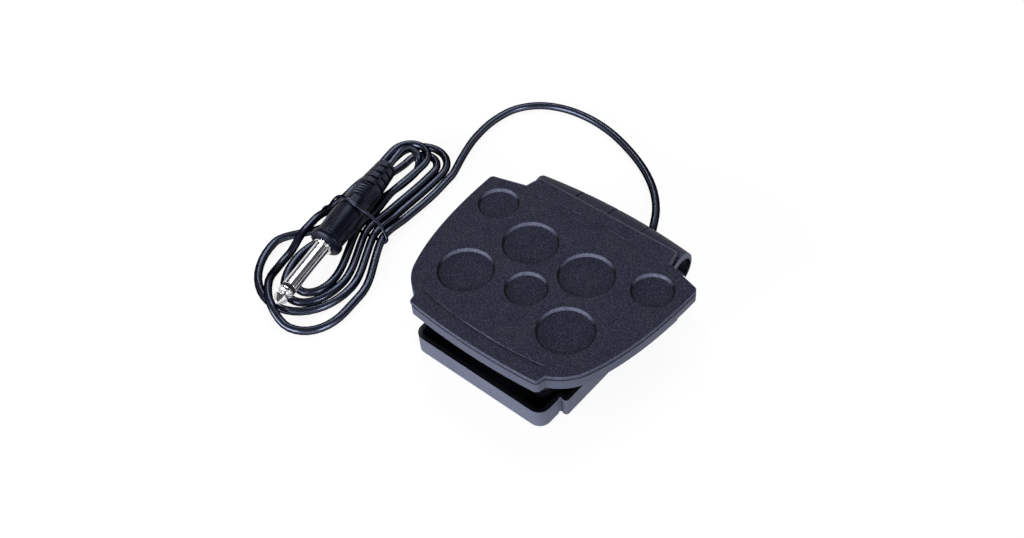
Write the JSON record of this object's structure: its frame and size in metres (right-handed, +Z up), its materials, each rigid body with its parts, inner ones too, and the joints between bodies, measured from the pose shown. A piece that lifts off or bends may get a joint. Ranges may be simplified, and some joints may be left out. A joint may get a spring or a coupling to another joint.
{
  "type": "compact foot switch pedal with a jack lead",
  "caption": "Compact spring-return foot switch: wide hinged tread over a shallow tray, with a thin lead tied in a hank and a jack plug.",
  "frame": {"origin": "on the floor, at the middle of the pedal's outline (the lead, its hank and its plug left out)", "axes": "+X to the right across the pedal, +Y back towards the hinge, +Z up"},
  "size_m": [0.162, 0.1656, 0.0275],
  "materials": {
    "base_tray": "fine satin grain",
    "rubber_feet": "matt",
    "travel_bumpers": "matt",
    "hinge_pin": "drawn",
    "pin_clips": "blackened spring steel",
    "pedal_plate": "satin moulding",
    "tread_pad": "fine-grained, matt",
    "return_spring": "drawn wire",
    "switch_board": "solder resist",
    "board_screws": "zinc plated",
    "switch_case": "moulded",
    "switch_plunger": "moulded",
    "contact_bridge": "stamped",
    "switch_contacts": "stamped",
    "switch_spring": "drawn wire",
    "lead_wires": "insulated wire",
    "inner_lead": "glossy sheath",
    "cord_clamp": "moulded",
    "clamp_screws": "zinc plated",
    "cord_gland": "matt",
    "cord": "glossy sheath",
    "cord_hank": "glossy sheath",
    "hank_tie": "coated wire",
    "plug_relief": "satin",
    "plug_handle": "satin",
    "plug_sleeve": "nickel plated",
    "plug_insulator": "moulded",
    "plug_tip": "nickel plated"
  },
  "bodies": {
    "base": {"base_tray": "base_tray", "rubber_feet": "rubber_feet", "travel_bumpers": "travel_bumpers", "hinge_pin": "hinge_pin", "pin_clips": "pin_clips", "return_spring": "return_spring", "switch_board": "switch_board", "board_screws": "board_screws", "switch_case": "switch_case", "switch_contacts": "switch_contacts", "switch_spring": "switch_spring", "lead_wires": "lead_wires", "inner_lead": "inner_lead", "cord_clamp": "cord_clamp", "clamp_screws": "clamp_screws", "cord_gland": "cord_gland", "cord": "cord", "cord_hank": "cord_hank", "hank_tie": "hank_tie", "plug_relief": "plug_relief", "plug_handle": "plug_handle", "plug_sleeve": "plug_sleeve", "plug_insulator": "plug_insulator", "plug_tip": "plug_tip"},
    "pedal": {"pedal_plate": "pedal_plate", "tread_pad": "tread_pad"},
    "plunger": {"switch_plunger": "switch_plunger", "contact_bridge": "contact_bridge"}
  },
  "joints": [
    {"name": "pedal_hinge", "type": "hinge", "parent": "base", "child": "pedal", "pos_m": [0, 0.0362, 0.017], "axis": [1, 0, 0], "range_deg": [0, 8], "stiffness_Nm_per_rad": 1.2, "springref_deg": -8.59, "deforming": ["return_spring"]},
    {"name": "plunger_slide", "type": "slide", "parent": "base", "child": "plunger", "axis": [0, 0, 1], "range_m": [-0.003, 0], "stiffness_N_per_m": 100, "springref_m": 0.003, "deforming": ["switch_spring"]}
  ],
  "couplings": [
    {"joint": "plunger_slide", "follows": "pedal_hinge", "m_per_rad": -0.0208}
  ]
}
